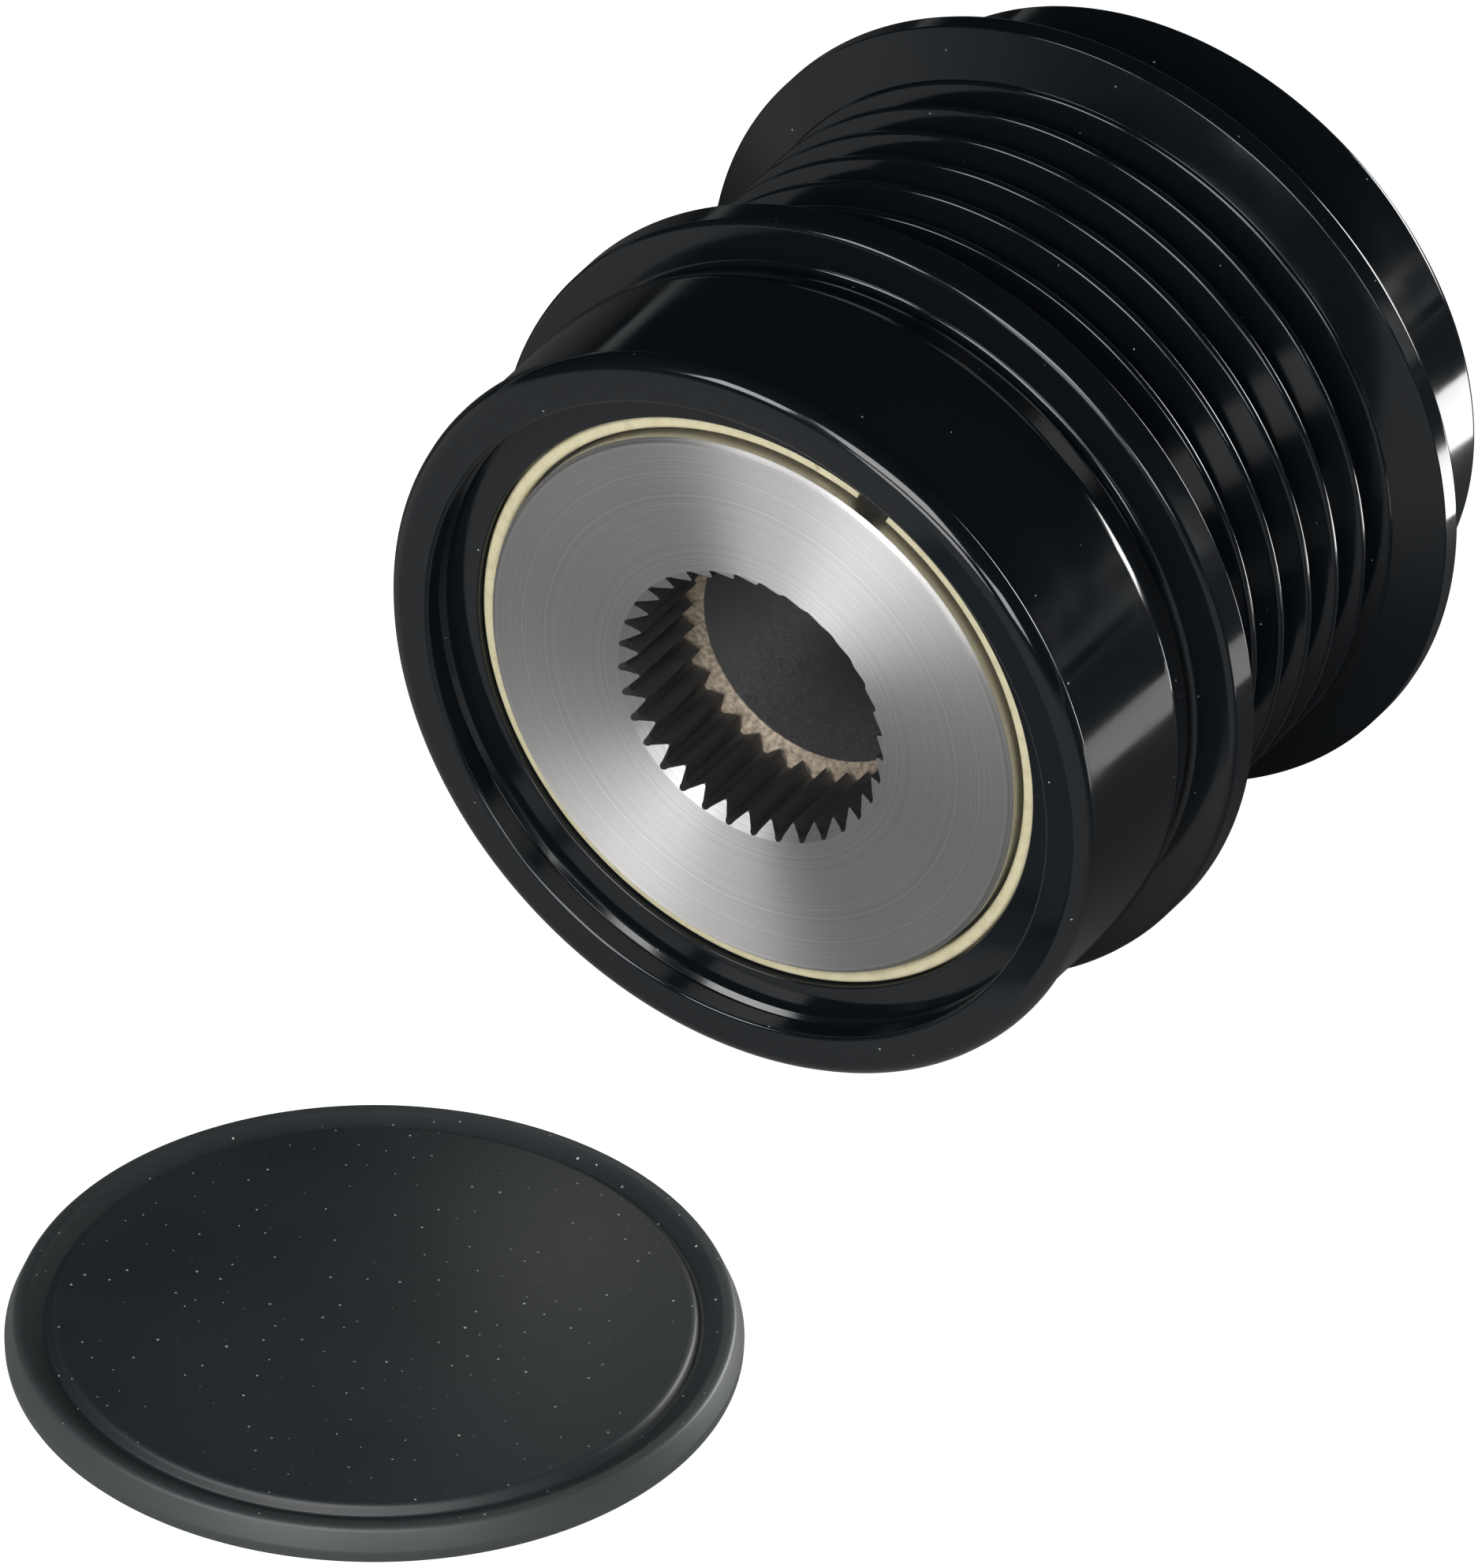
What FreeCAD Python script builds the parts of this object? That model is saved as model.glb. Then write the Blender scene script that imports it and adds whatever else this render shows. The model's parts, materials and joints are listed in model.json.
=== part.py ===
import FreeCAD, Part
import math
import os

# Overrunning alternator pulley for a six-rib belt, lying on its two flanges, with its end cap
# taken off and laid flat in front of it. Millimetres, +Z up. The pulley's axis is +Y, rearwards,
# and the origin is on that axis in the rear end face of the hub, which seats on the alternator.
# Depths (names ending in _at) are measured backwards from the front face of the hub.

Vector = FreeCAD.Vector

# Hub
shaft_radius = 14.2
shaft_chamfer = 0.8
seat_wall = 3.0
collar_chamfer = 0.3
shoulder_gap = 0.3
shoulder_width = 2.2
shoulder_clearance = 0.55

# Stepped bore of the hub
serration_teeth = 33
serration_turn = 7.0
serration_root_radius = 10.75
serration_depth = 1.15
serration_lead_in = 1.0
serration_length = 8.0
serration_gullet = 0.3
gullet_share = 0.16
tool_bore_step = 0.4
tool_bore_cone = 20.0
tool_bore_length = 21.4
thread_radius = 7.19
pilot_radius = 8.5
pilot_length = 8.0

# Belt rim, outside
nose_ahead = 2.0
nose_length = 12.8
nose_wall = 2.95
nose_lip_step = 0.35
nose_lip_width = 1.5
nose_lip_fall = 0.2
nose_corner = 1.0
valley_depth = 1.35
valley_front_width = 2.2
valley_rear_width = 1.8
valley_round = 0.8
flange_height = 3.47
flange_rim_width = 2.5
flange_corner = 0.5
front_wall_width = 2.3
ribs = 6
rib_pitch = 3.56
rib_crest_width = 0.5
groove_depth = 2.9
groove_angle = 40.0
groove_floor_wall = 2.03
rear_wall_width = 1.4
rear_flange_width = 1.7
boss_length = 9.94
boss_wall = 3.8
boss_slope = 1.2
boss_corner = 0.6
rear_end_gap = 1.0

# Belt rim, inside
recess_depth = 2.5
recess_chamfer = 0.3
recess_shelf = 2.25
snap_depth = 0.4
snap_width = 0.9
ring_bore_step = 1.25
ring_groove_depth = 0.45
sleeve_wall = 1.8
sleeve_lip_width = 1.5
sleeve_lip_clearance = 1.2

# Split ring that closes the front, with its gap and the mark of its moulding gate
ring_width = 1.25
ring_clearance = 0.25
ring_play = 0.15
ring_inset = 0.3
ring_thickness = 2.0
ring_bead_width = 0.9
ring_gap = 2.6
ring_gap_angle = 65.0
gate_mark_radius = 1.0
gate_mark_depth = 0.25
gate_mark_angle = 75.6

# Needle rows and thrust washers
running_clearance = 0.03
end_clearance = 0.1
washer_thickness = 0.9
washer_play = 0.15
needle_count = 14
needle_radius = 1.22
front_needle_length = 6.2
rear_needle_length = 8.2
cage_end_ring = 1.0
cage_clearance = 0.2
pocket_clearance = 0.06
front_row_gap = 0.4
front_row_end_gap = 0.6
rear_row_gap = 0.6
rear_row_end_gap = 1.2

# Clutch
roller_count = 12
roller_radius = 2.0
roller_length = 9.4
roller_play = 0.05
ramp_play = 0.06
ramp_angle = 5.0
ramp_head_gap = 1.5
land_height = 1.08
land_end_gap = 1.0
clutch_end_gap = 0.8
bar_clearance = 0.15
bar_gap = 1.14
spring_room = 1.75
spring_strip = 0.2
spring_height = 1.6
spring_folds = 4

# Rear seal
seal_inset = 3.0
seal_width = 4.0
seal_wall = 0.8
seal_web_clearance = 3.3
seal_lip_clearance = 0.1
seal_lip_thickness = 1.0

# End cap, lying face up
cap_play = 0.35
cap_bead = 0.7
cap_bead_round = 0.3
cap_bead_height = 1.2
cap_height = 2.6
cap_wall = 1.3
cap_border = 2.65
cap_groove_width = 0.9
cap_groove_depth = 0.35
cap_edge_round = 0.4
cap_gap = 14.5
cap_offset = -4.0

# Radii worked out from those above, from the shaft outwards
seat_radius = shaft_radius + seat_wall
race_radius = seat_radius + 2 * (needle_radius + running_clearance)
needle_ring_radius = (race_radius + seat_radius) / 2
cage_inner = seat_radius + cage_clearance
cage_outer = race_radius - cage_clearance
sleeve_radius = race_radius + sleeve_wall
sleeve_lip_radius = shaft_radius + sleeve_lip_clearance
ring_bore_radius = sleeve_radius + ring_bore_step
ring_outer_radius = ring_bore_radius - ring_play
ring_inner_radius = ring_outer_radius - ring_width
collar_radius = ring_inner_radius - ring_clearance
shoulder_radius = ring_bore_radius - shoulder_clearance
recess_radius = ring_bore_radius + recess_shelf
nose_radius = recess_radius + nose_wall
nose_lip_radius = nose_radius + nose_lip_step
valley_radius = nose_radius - valley_depth
groove_floor_radius = sleeve_radius + groove_floor_wall
rib_crest_radius = groove_floor_radius + groove_depth
flange_radius = rib_crest_radius + flange_height
boss_radius = sleeve_radius + boss_wall
seal_web_radius = shaft_radius + seal_web_clearance
serration_tip_radius = serration_root_radius - serration_depth
tool_bore_radius = serration_tip_radius - tool_bore_step
cap_top_radius = recess_radius - cap_play
cap_bead_radius = cap_top_radius + cap_bead
cap_disc_radius = cap_top_radius - cap_border

# Depths worked out from those above, from the front of the rim backwards
recess_floor_at = recess_depth - nose_ahead
ring_front_at = recess_floor_at + ring_inset
ring_rear_at = ring_front_at + ring_thickness
shoulder_front_at = ring_rear_at + shoulder_gap
shoulder_rear_at = shoulder_front_at + shoulder_width
sleeve_front_at = shoulder_rear_at + end_clearance + washer_thickness
front_row_at = sleeve_front_at + front_row_gap
seat_rear_at = front_row_at + front_needle_length + 2 * cage_end_ring + front_row_end_gap
clutch_front_at = seat_rear_at + clutch_end_gap
clutch_length = roller_length + 2 * cage_end_ring
clutch_rear_at = clutch_front_at + clutch_length + clutch_end_gap
rear_row_at = clutch_rear_at + rear_row_gap
race_rear_at = rear_row_at + rear_needle_length + 2 * cage_end_ring + rear_row_end_gap
lip_front_at = race_rear_at + end_clearance + washer_thickness
sleeve_rear_at = lip_front_at + sleeve_lip_width
nose_end_at = nose_length - nose_ahead
valley_at = nose_end_at + valley_front_width
front_flange_at = valley_at + valley_rear_width
groove_start_at = front_flange_at + flange_rim_width + front_wall_width
groove_end_at = groove_start_at + ribs * rib_pitch
rear_flange_at = groove_end_at + rear_wall_width
rear_rim_at = rear_flange_at + rear_flange_width
rim_end_at = rear_rim_at + boss_length
seal_front_at = rim_end_at - seal_inset - seal_width
hub_length = rim_end_at + rear_end_gap

# Clutch geometry: the ramps' height over the axis, and the cage bars' sides in degrees
roller_pitch = 360.0 / roller_count
roller_ring_radius = race_radius - roller_radius - roller_play
ramp_height = (roller_ring_radius * math.cos(math.radians(ramp_angle))
               - roller_radius - ramp_play)
land_radius = ramp_height + land_height
bar_radius = land_radius + bar_clearance
bar_start = ramp_angle + math.degrees((roller_radius + bar_gap) / roller_ring_radius)
spring_wall = roller_radius + spring_room - roller_ring_radius * math.sin(math.radians(ramp_angle))
bar_end = roller_pitch - math.degrees(math.asin(spring_wall / roller_ring_radius))


def along(depth):
    """Y of a place that lies depth behind the hub's front face."""
    return depth - hub_length


def outline(corners):
    """Closed wire in the XY plane through (radius, depth, round) corners, with arcs at rounds."""
    edges = []
    starts = []
    ends = []
    count = len(corners)
    spots = [Vector(radius, along(depth), 0) for radius, depth, fillet in corners]
    for i, (radius, depth, fillet) in enumerate(corners):
        before = (spots[i - 1] - spots[i]).normalize()
        after = (spots[(i + 1) % count] - spots[i]).normalize()
        if fillet == 0:
            starts.append(spots[i])
            ends.append(spots[i])
            continue
        half = before.getAngle(after) / 2
        reach = fillet / math.tan(half)
        starts.append(spots[i] + before * reach)
        ends.append(spots[i] + after * reach)
        middle = (before + after).normalize()
        crown = spots[i] + middle * (fillet / math.sin(half) - fillet)
        edges.append(Part.Arc(starts[i], crown, ends[i]).toShape())
    for i in range(count):
        if (starts[(i + 1) % count] - ends[i]).Length > 1e-6:
            edges.append(Part.LineSegment(ends[i], starts[(i + 1) % count]).toShape())
    return Part.Wire(Part.__sortEdges__(edges))


def turned(corners):
    """Solid made by turning a profile once round the pulley's axis."""
    face = Part.Face(outline(corners))
    return face.revolve(Vector(0, 0, 0), Vector(0, 1, 0), 360)


def tube(outer, inner, front, rear, chamfer=0.0):
    """Ring with square ends, its outer corners chamfered where asked."""
    corners = [(inner, front, 0), (outer - chamfer, front, 0)]
    if chamfer > 0:
        corners += [(outer, front + chamfer, 0), (outer, rear - chamfer, 0)]
        corners += [(outer - chamfer, rear, 0), (inner, rear, 0)]
    else:
        corners += [(outer, rear, 0), (inner, rear, 0)]
    return turned(corners)


def rod(radius, front, rear):
    """Plain cylinder on the pulley's axis."""
    return Part.makeCylinder(radius, rear - front, Vector(0, along(front), 0), Vector(0, 1, 0))


def around(shape, degrees):
    """Copy of a shape turned about the pulley's axis."""
    copy = shape.copy()
    copy.rotate(Vector(0, 0, 0), Vector(0, 1, 0), degrees)
    return copy


def polar(radius, degrees):
    """Point of the cross-section at y = 0, its angle counted from +X towards -Z."""
    angle = math.radians(degrees)
    return Vector(radius * math.cos(angle), 0, -radius * math.sin(angle))


def prism(edges, front, rear):
    """Solid of a closed cross-section, from depth front to depth rear."""
    face = Part.Face(Part.Wire(edges))
    face.translate(Vector(0, along(front), 0))
    return face.extrude(Vector(0, rear - front, 0))


def serration():
    """Hole with straight V teeth: pointed tips inwards, rounded gullets outwards."""
    pitch = 360.0 / serration_teeth
    shoulder = serration_root_radius - serration_gullet
    spread = pitch * gullet_share
    edges = []
    for tooth in range(serration_teeth):
        tip = polar(serration_tip_radius, tooth * pitch)
        middle = (tooth + 0.5) * pitch
        first = polar(shoulder, middle - spread)
        last = polar(shoulder, middle + spread)
        edges.append(Part.LineSegment(tip, first).toShape())
        edges.append(Part.Arc(first, polar(serration_root_radius, middle), last).toShape())
        following = polar(serration_tip_radius, (tooth + 1) * pitch)
        edges.append(Part.LineSegment(last, following).toShape())
    return around(prism(edges, -1.0, serration_length), serration_turn)


def make_hub():
    """Steel hub: front collar, thrust shoulder, needle seat and shaft, round the stepped bore."""
    blank = turned([
        (0, 0, 0),
        (collar_radius - collar_chamfer, 0, 0),
        (collar_radius, collar_chamfer, 0),
        (collar_radius, shoulder_front_at, 0),
        (shoulder_radius, shoulder_front_at, 0),
        (shoulder_radius, shoulder_rear_at, 0),
        (seat_radius, shoulder_rear_at, 0),
        (seat_radius, seat_rear_at, 0),
        (shaft_radius, seat_rear_at, 0),
        (shaft_radius, hub_length - shaft_chamfer, 0),
        (shaft_radius - shaft_chamfer, hub_length, 0),
        (0, hub_length, 0),
    ])
    cone = serration_root_radius - tool_bore_radius
    bore_front = serration_length + cone * math.tan(math.radians(tool_bore_cone))
    bore_rear = serration_length + tool_bore_length
    bore = turned([
        (0, serration_length, 0),
        (serration_root_radius, serration_length, 0),
        (tool_bore_radius, bore_front, 0),
        (tool_bore_radius, bore_rear, 0),
        (thread_radius, bore_rear + tool_bore_radius - thread_radius, 0),
        (thread_radius, hub_length - pilot_length, 0),
        (pilot_radius, hub_length - pilot_length, 0),
        (pilot_radius, hub_length, 0),
        (0, hub_length, 0),
    ])
    lead_in = turned([
        (0, 0, 0),
        (serration_root_radius, 0, 0),
        (serration_tip_radius, serration_lead_in, 0),
        (0, serration_lead_in, 0),
    ])
    return blank.cut(bore).cut(serration().fuse(lead_in))


def groove_corners():
    """Profile corners of the V grooves, front to rear, with a flat crest between grooves."""
    half_root = (rib_pitch - rib_crest_width) / 2
    half_root -= groove_depth * math.tan(math.radians(groove_angle / 2))
    corners = []
    for groove in range(ribs):
        middle = groove_start_at + (groove + 0.5) * rib_pitch
        half_top = (rib_pitch - rib_crest_width) / 2
        corners.append((rib_crest_radius, middle - half_top, 0))
        corners.append((groove_floor_radius, middle - half_root, 0))
        corners.append((groove_floor_radius, middle + half_root, 0))
        corners.append((rib_crest_radius, middle + half_top, 0))
    return corners


def make_rim():
    """Steel rim: nose with its cap recess, two flanges, the V grooves and the rear boss."""
    front = -nose_ahead
    lip_end = front + nose_lip_width
    snap_front = recess_floor_at - snap_width
    snap_radius = recess_radius + snap_depth
    bead_front = ring_rear_at - ring_bead_width - ring_play
    bead_rear = ring_rear_at + ring_play
    bead_radius = ring_bore_radius + ring_groove_depth
    flange_rear = front_flange_at + flange_rim_width
    outside = [
        (recess_radius + recess_chamfer, front, 0),
        (nose_lip_radius, front, nose_corner),
        (nose_lip_radius, lip_end, 0),
        (nose_radius, lip_end + nose_lip_fall, 0),
        (nose_radius, nose_end_at, 0),
        (valley_radius, valley_at, valley_round),
        (flange_radius, front_flange_at, flange_corner),
        (flange_radius, flange_rear, 0),
        (rib_crest_radius, groove_start_at, 0),
    ]
    rear = [
        (rib_crest_radius, groove_end_at, 0),
        (flange_radius, rear_flange_at, 0),
        (flange_radius, rear_rim_at, flange_corner),
        (boss_radius, rear_rim_at + boss_slope, 0),
        (boss_radius, rim_end_at, boss_corner),
        (sleeve_radius + boss_corner, rim_end_at, 0),
        (sleeve_radius, rim_end_at - boss_corner, 0),
        (sleeve_radius, sleeve_front_at, 0),
        (ring_bore_radius, sleeve_front_at, 0),
        (ring_bore_radius, bead_rear, 0),
        (bead_radius, bead_rear, 0),
        (bead_radius, bead_front, 0),
        (ring_bore_radius, bead_front, 0),
        (ring_bore_radius, recess_floor_at, 0),
        (recess_radius, recess_floor_at, 0),
        (snap_radius, recess_floor_at - snap_width / 3, 0),
        (snap_radius, snap_front + snap_width / 3, 0),
        (recess_radius, snap_front, 0),
        (recess_radius, front + recess_chamfer, 0),
    ]
    return turned(outside + groove_corners() + rear)


def make_sleeve():
    """Hardened drawn sleeve pressed into the rim: outer race of both needle rows and the clutch."""
    return turned([
        (race_radius, sleeve_front_at, 0),
        (sleeve_radius, sleeve_front_at, 0),
        (sleeve_radius, sleeve_rear_at, 0),
        (sleeve_lip_radius, sleeve_rear_at, 0),
        (sleeve_lip_radius, lip_front_at, 0),
        (race_radius, lip_front_at, 0),
    ])


def make_split_ring():
    """Plastic ring that snaps into the rim's groove in front of the hub's shoulder, with the
    half-moon recess of its moulding gate beside the gap."""
    bead = ring_outer_radius + ring_groove_depth
    bead_front = ring_rear_at - ring_bead_width
    ring = turned([
        (ring_inner_radius, ring_front_at, 0),
        (ring_outer_radius, ring_front_at, 0),
        (ring_outer_radius, bead_front, 0),
        (bead, bead_front, 0),
        (bead, ring_rear_at, 0),
        (ring_inner_radius, ring_rear_at, 0),
    ])
    opening = Part.makeBox(bead + 1, ring_thickness + 2, ring_gap,
                           Vector(0, along(ring_front_at - 1), -ring_gap / 2))
    gate_mark = Part.makeCylinder(gate_mark_radius, gate_mark_depth,
                                  Vector(ring_outer_radius, along(ring_front_at), 0),
                                  Vector(0, 1, 0))
    return ring.cut([around(opening, -ring_gap_angle), around(gate_mark, -gate_mark_angle)])


def needle_cage(front, needle_length):
    """Cage with one window for each needle of a row that starts at depth front."""
    rear = front + needle_length + 2 * cage_end_ring
    cage = tube(cage_outer, cage_inner, front, rear)
    width = 2 * (needle_radius + pocket_clearance)
    window = Part.makeBox(cage_outer, needle_length + 2 * pocket_clearance, width,
                          Vector(cage_inner / 2, along(front + cage_end_ring - pocket_clearance),
                                 -width / 2))
    windows = [around(window, i * 360.0 / needle_count) for i in range(needle_count)]
    return cage.cut(windows)


def needle_row(front, needle_length):
    """Needles of one row, each a solid of its own."""
    start = Vector(needle_ring_radius, along(front + cage_end_ring), 0)
    needle = Part.makeCylinder(needle_radius, needle_length, start, Vector(0, 1, 0))
    return Part.makeCompound([around(needle, i * 360.0 / needle_count)
                              for i in range(needle_count)])


def make_ramp_ring():
    """Clutch inner ring: one flat ramp for each roller, with a land between ramps."""
    foot_angle = bar_end - roller_pitch
    head_angle = bar_start - ramp_head_gap
    land_end_angle = bar_end - land_end_gap
    low = ramp_height / math.cos(math.radians(foot_angle))
    high = ramp_height / math.cos(math.radians(head_angle))
    edges = []
    for ramp in range(roller_count):
        turn = ramp * roller_pitch
        foot = polar(low, turn + foot_angle)
        head = polar(high, turn + head_angle)
        land_start = polar(land_radius, turn + bar_start)
        land_middle = polar(land_radius, turn + (bar_start + land_end_angle) / 2)
        land_end = polar(land_radius, turn + land_end_angle)
        next_foot = polar(low, turn + bar_end)
        edges.append(Part.LineSegment(foot, head).toShape())
        edges.append(Part.LineSegment(head, land_start).toShape())
        edges.append(Part.Arc(land_start, land_middle, land_end).toShape())
        edges.append(Part.LineSegment(land_end, next_foot).toShape())
    star = prism(edges, seat_rear_at, clutch_rear_at)
    return star.cut(rod(shaft_radius, seat_rear_at, clutch_rear_at))


def make_clutch_cage():
    """Cage of the clutch: two end rings joined by a bar between each two rollers."""
    rear = clutch_front_at + clutch_length
    cage = tube(cage_outer, bar_radius, clutch_front_at, rear)
    sides = (bar_end - roller_pitch, bar_start)
    corners = [polar(bar_radius / 2, sides[0]), polar(race_radius + 1, sides[0]),
               polar(race_radius + 1, sides[1]), polar(bar_radius / 2, sides[1])]
    edges = [Part.LineSegment(corners[i - 1], corners[i]).toShape() for i in range(4)]
    window = prism(edges, clutch_front_at + cage_end_ring - pocket_clearance,
                   rear - cage_end_ring + pocket_clearance)
    return cage.cut([around(window, i * roller_pitch) for i in range(roller_count)])


def make_roller(index):
    """Clutch roller, at rest at the low end of its ramp."""
    start = Vector(roller_ring_radius, along(clutch_front_at + cage_end_ring), 0)
    roller = Part.makeCylinder(roller_radius, roller_length, start, Vector(0, 1, 0))
    return around(roller, ramp_angle + index * roller_pitch)


def make_spring(index):
    """Folded leaf spring between a cage bar and its roller, pushing the roller up the ramp."""
    left = pocket_clearance - spring_wall
    step = spring_room - 2 * pocket_clearance - spring_strip
    middle = along(clutch_front_at + clutch_length / 2)
    pleat = roller_length / (spring_folds + 1)
    near = []
    for fold in range(spring_folds + 1):
        side = left + (step if fold % 2 else 0)
        near.append(Vector(0, middle + (fold - spring_folds / 2) * pleat, side))
    far = [point + Vector(0, 0, spring_strip) for point in reversed(near)]
    strip = Part.Face(Part.makePolygon(near + far + near[:1]))
    strip.translate(Vector(roller_ring_radius - spring_height / 2, 0, 0))
    spring = strip.extrude(Vector(spring_height, 0, 0))
    spring = spring.mirror(Vector(0, 0, 0), Vector(0, 0, 1))
    return around(spring, index * roller_pitch)


def make_seal_case():
    """Pressed steel case of the rear seal, an L in section."""
    rear = seal_front_at + seal_width
    return turned([
        (sleeve_radius - seal_wall, seal_front_at, 0),
        (sleeve_radius, seal_front_at, 0),
        (sleeve_radius, rear, 0),
        (seal_web_radius, rear, 0),
        (seal_web_radius, rear - seal_wall, 0),
        (sleeve_radius - seal_wall, rear - seal_wall, 0),
    ])


def make_seal_lip():
    """Rubber lip moulded to the case, its edge running on the hub's shaft."""
    rear = seal_front_at + seal_width
    edge = shaft_radius + seal_lip_clearance
    return turned([
        (edge, seal_front_at + seal_wall, 0),
        (edge + seal_lip_thickness, seal_front_at, 0),
        (seal_web_radius, rear - 2 * seal_wall, 0),
        (seal_web_radius, rear, 0),
        (edge + seal_lip_thickness, rear, 0),
        (edge, rear - seal_lip_thickness / 2, 0),
        (edge + seal_lip_thickness, rear - 2 * seal_wall, 0),
    ])


def make_cap():
    """Moulded end cap: flat disc, ring groove, and a turned-down rim with a snap bead."""
    floor = -flange_radius
    top = floor + cap_height
    inner = cap_top_radius - cap_wall
    profile = [
        (0, top, 0),
        (cap_disc_radius, top, 0),
        (cap_disc_radius + cap_groove_width / 3, top - cap_groove_depth, 0),
        (cap_disc_radius + cap_groove_width, top, 0),
        (cap_top_radius, top, cap_edge_round),
        (cap_bead_radius, floor + cap_bead_height, cap_bead_round),
        (cap_bead_radius - cap_bead_round, floor, 0),
        (inner, floor, 0),
        (inner, top - cap_wall, 0),
        (0, top - cap_wall, 0),
    ]
    corners = [(radius, height + hub_length, fillet) for radius, height, fillet in profile]
    face = Part.Face(outline(corners))
    face.rotate(Vector(0, 0, 0), Vector(1, 0, 0), 90)
    cap = face.revolve(Vector(0, 0, 0), Vector(0, 0, 1), 360)
    cap.translate(Vector(cap_offset, along(-nose_ahead - cap_gap - cap_bead_radius), 0))
    return cap


def all_parts():
    """Every sub-part by its node name."""
    parts = {
        "hub": make_hub(),
        "pulley_rim": make_rim(),
        "clutch_sleeve": make_sleeve(),
        "split_ring": make_split_ring(),
        "front_needle_cage": needle_cage(front_row_at, front_needle_length),
        "front_needles": needle_row(front_row_at, front_needle_length),
        "rear_needle_cage": needle_cage(rear_row_at, rear_needle_length),
        "rear_needles": needle_row(rear_row_at, rear_needle_length),
        "ramp_ring": make_ramp_ring(),
        "rear_race_ring": tube(seat_radius, shaft_radius, clutch_rear_at, race_rear_at),
        "clutch_cage": make_clutch_cage(),
        "front_thrust_washer": tube(ring_bore_radius - washer_play, seat_radius + cage_clearance,
                                    sleeve_front_at - washer_thickness, sleeve_front_at),
        "rear_thrust_washer": tube(race_radius - washer_play, shaft_radius + cage_clearance,
                                   race_rear_at + end_clearance, lip_front_at),
        "seal_case": make_seal_case(),
        "seal_lip": make_seal_lip(),
        "end_cap": make_cap(),
    }
    for index in range(roller_count):
        number = "%02d" % (index + 1)
        parts["clutch_roller_" + number] = make_roller(index)
        parts["clutch_spring_" + number] = make_spring(index)
    return parts


os.makedirs("parts", exist_ok=True)
for name, shape in all_parts().items():
    shape.exportStep("parts/" + name + ".step")
    print(name, len(shape.Solids), round(shape.Volume, 2), shape.isValid())
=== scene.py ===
# Overrunning alternator pulley: looks of the black rim, turned hub, split ring and end cap.
# Lengths in the dictionaries are millimetres. The pulley's axis is Y and the nose points to -Y.
import json
import math
import bpy
import numpy as np
from mathutils import Euler, Matrix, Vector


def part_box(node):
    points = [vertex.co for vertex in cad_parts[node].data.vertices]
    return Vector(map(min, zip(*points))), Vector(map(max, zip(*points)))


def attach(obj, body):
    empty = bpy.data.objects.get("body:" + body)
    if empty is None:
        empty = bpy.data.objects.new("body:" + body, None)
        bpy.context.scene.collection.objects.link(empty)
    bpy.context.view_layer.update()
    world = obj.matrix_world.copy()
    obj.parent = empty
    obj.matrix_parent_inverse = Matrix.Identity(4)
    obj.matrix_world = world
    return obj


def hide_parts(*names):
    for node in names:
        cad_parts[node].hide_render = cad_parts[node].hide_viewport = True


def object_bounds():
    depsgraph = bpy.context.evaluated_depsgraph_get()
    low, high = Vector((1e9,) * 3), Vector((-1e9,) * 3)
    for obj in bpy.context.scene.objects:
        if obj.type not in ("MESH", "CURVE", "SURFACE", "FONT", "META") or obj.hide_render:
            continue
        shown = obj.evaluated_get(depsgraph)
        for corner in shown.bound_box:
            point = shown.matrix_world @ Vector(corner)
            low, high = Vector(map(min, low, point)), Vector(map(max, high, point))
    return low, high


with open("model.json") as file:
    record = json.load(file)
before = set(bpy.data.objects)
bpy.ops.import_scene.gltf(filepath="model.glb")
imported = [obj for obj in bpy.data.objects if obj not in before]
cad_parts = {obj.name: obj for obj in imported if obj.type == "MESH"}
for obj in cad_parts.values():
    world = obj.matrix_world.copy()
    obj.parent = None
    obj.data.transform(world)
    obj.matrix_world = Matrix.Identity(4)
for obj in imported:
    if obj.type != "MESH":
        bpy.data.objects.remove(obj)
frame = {"nodes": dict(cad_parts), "record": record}
cadBox = [list(corner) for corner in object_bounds()]
nodes = frame["nodes"]
mm = 0.001
hubLength = -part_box("hub")[0].y / mm    # the hub's rear face is at y = 0
floorHeight = cadBox[0][2]


# Small helpers for colour, nodes and meshes

def linearColour(hexText):
    # sRGB hex text to linear red, green, blue and alpha
    steps = [int(hexText[i:i + 2], 16) / 255 for i in (1, 3, 5)]
    return [s / 12.92 if s <= 0.04045 else ((s + 0.055) / 1.055) ** 2.4 for s in steps] + [1.0]


def addNode(tree, kind, settings=None, inputs=None):
    # one node with its settings, then its inputs as values or as links from other sockets
    node = tree.nodes.new(kind)
    for name, value in (settings or {}).items():
        setattr(node, name, value)
    for name, value in (inputs or {}).items():
        if isinstance(value, bpy.types.NodeSocket):
            tree.links.new(value, node.inputs[name])
        else:
            node.inputs[name].default_value = value
    return node


def newMaterial(name):
    # empty material, its node tree and its output node
    material = bpy.data.materials.new(name)
    material.use_nodes = True
    tree = material.node_tree
    tree.nodes.clear()
    return material, tree, addNode(tree, "ShaderNodeOutputMaterial")


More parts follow.
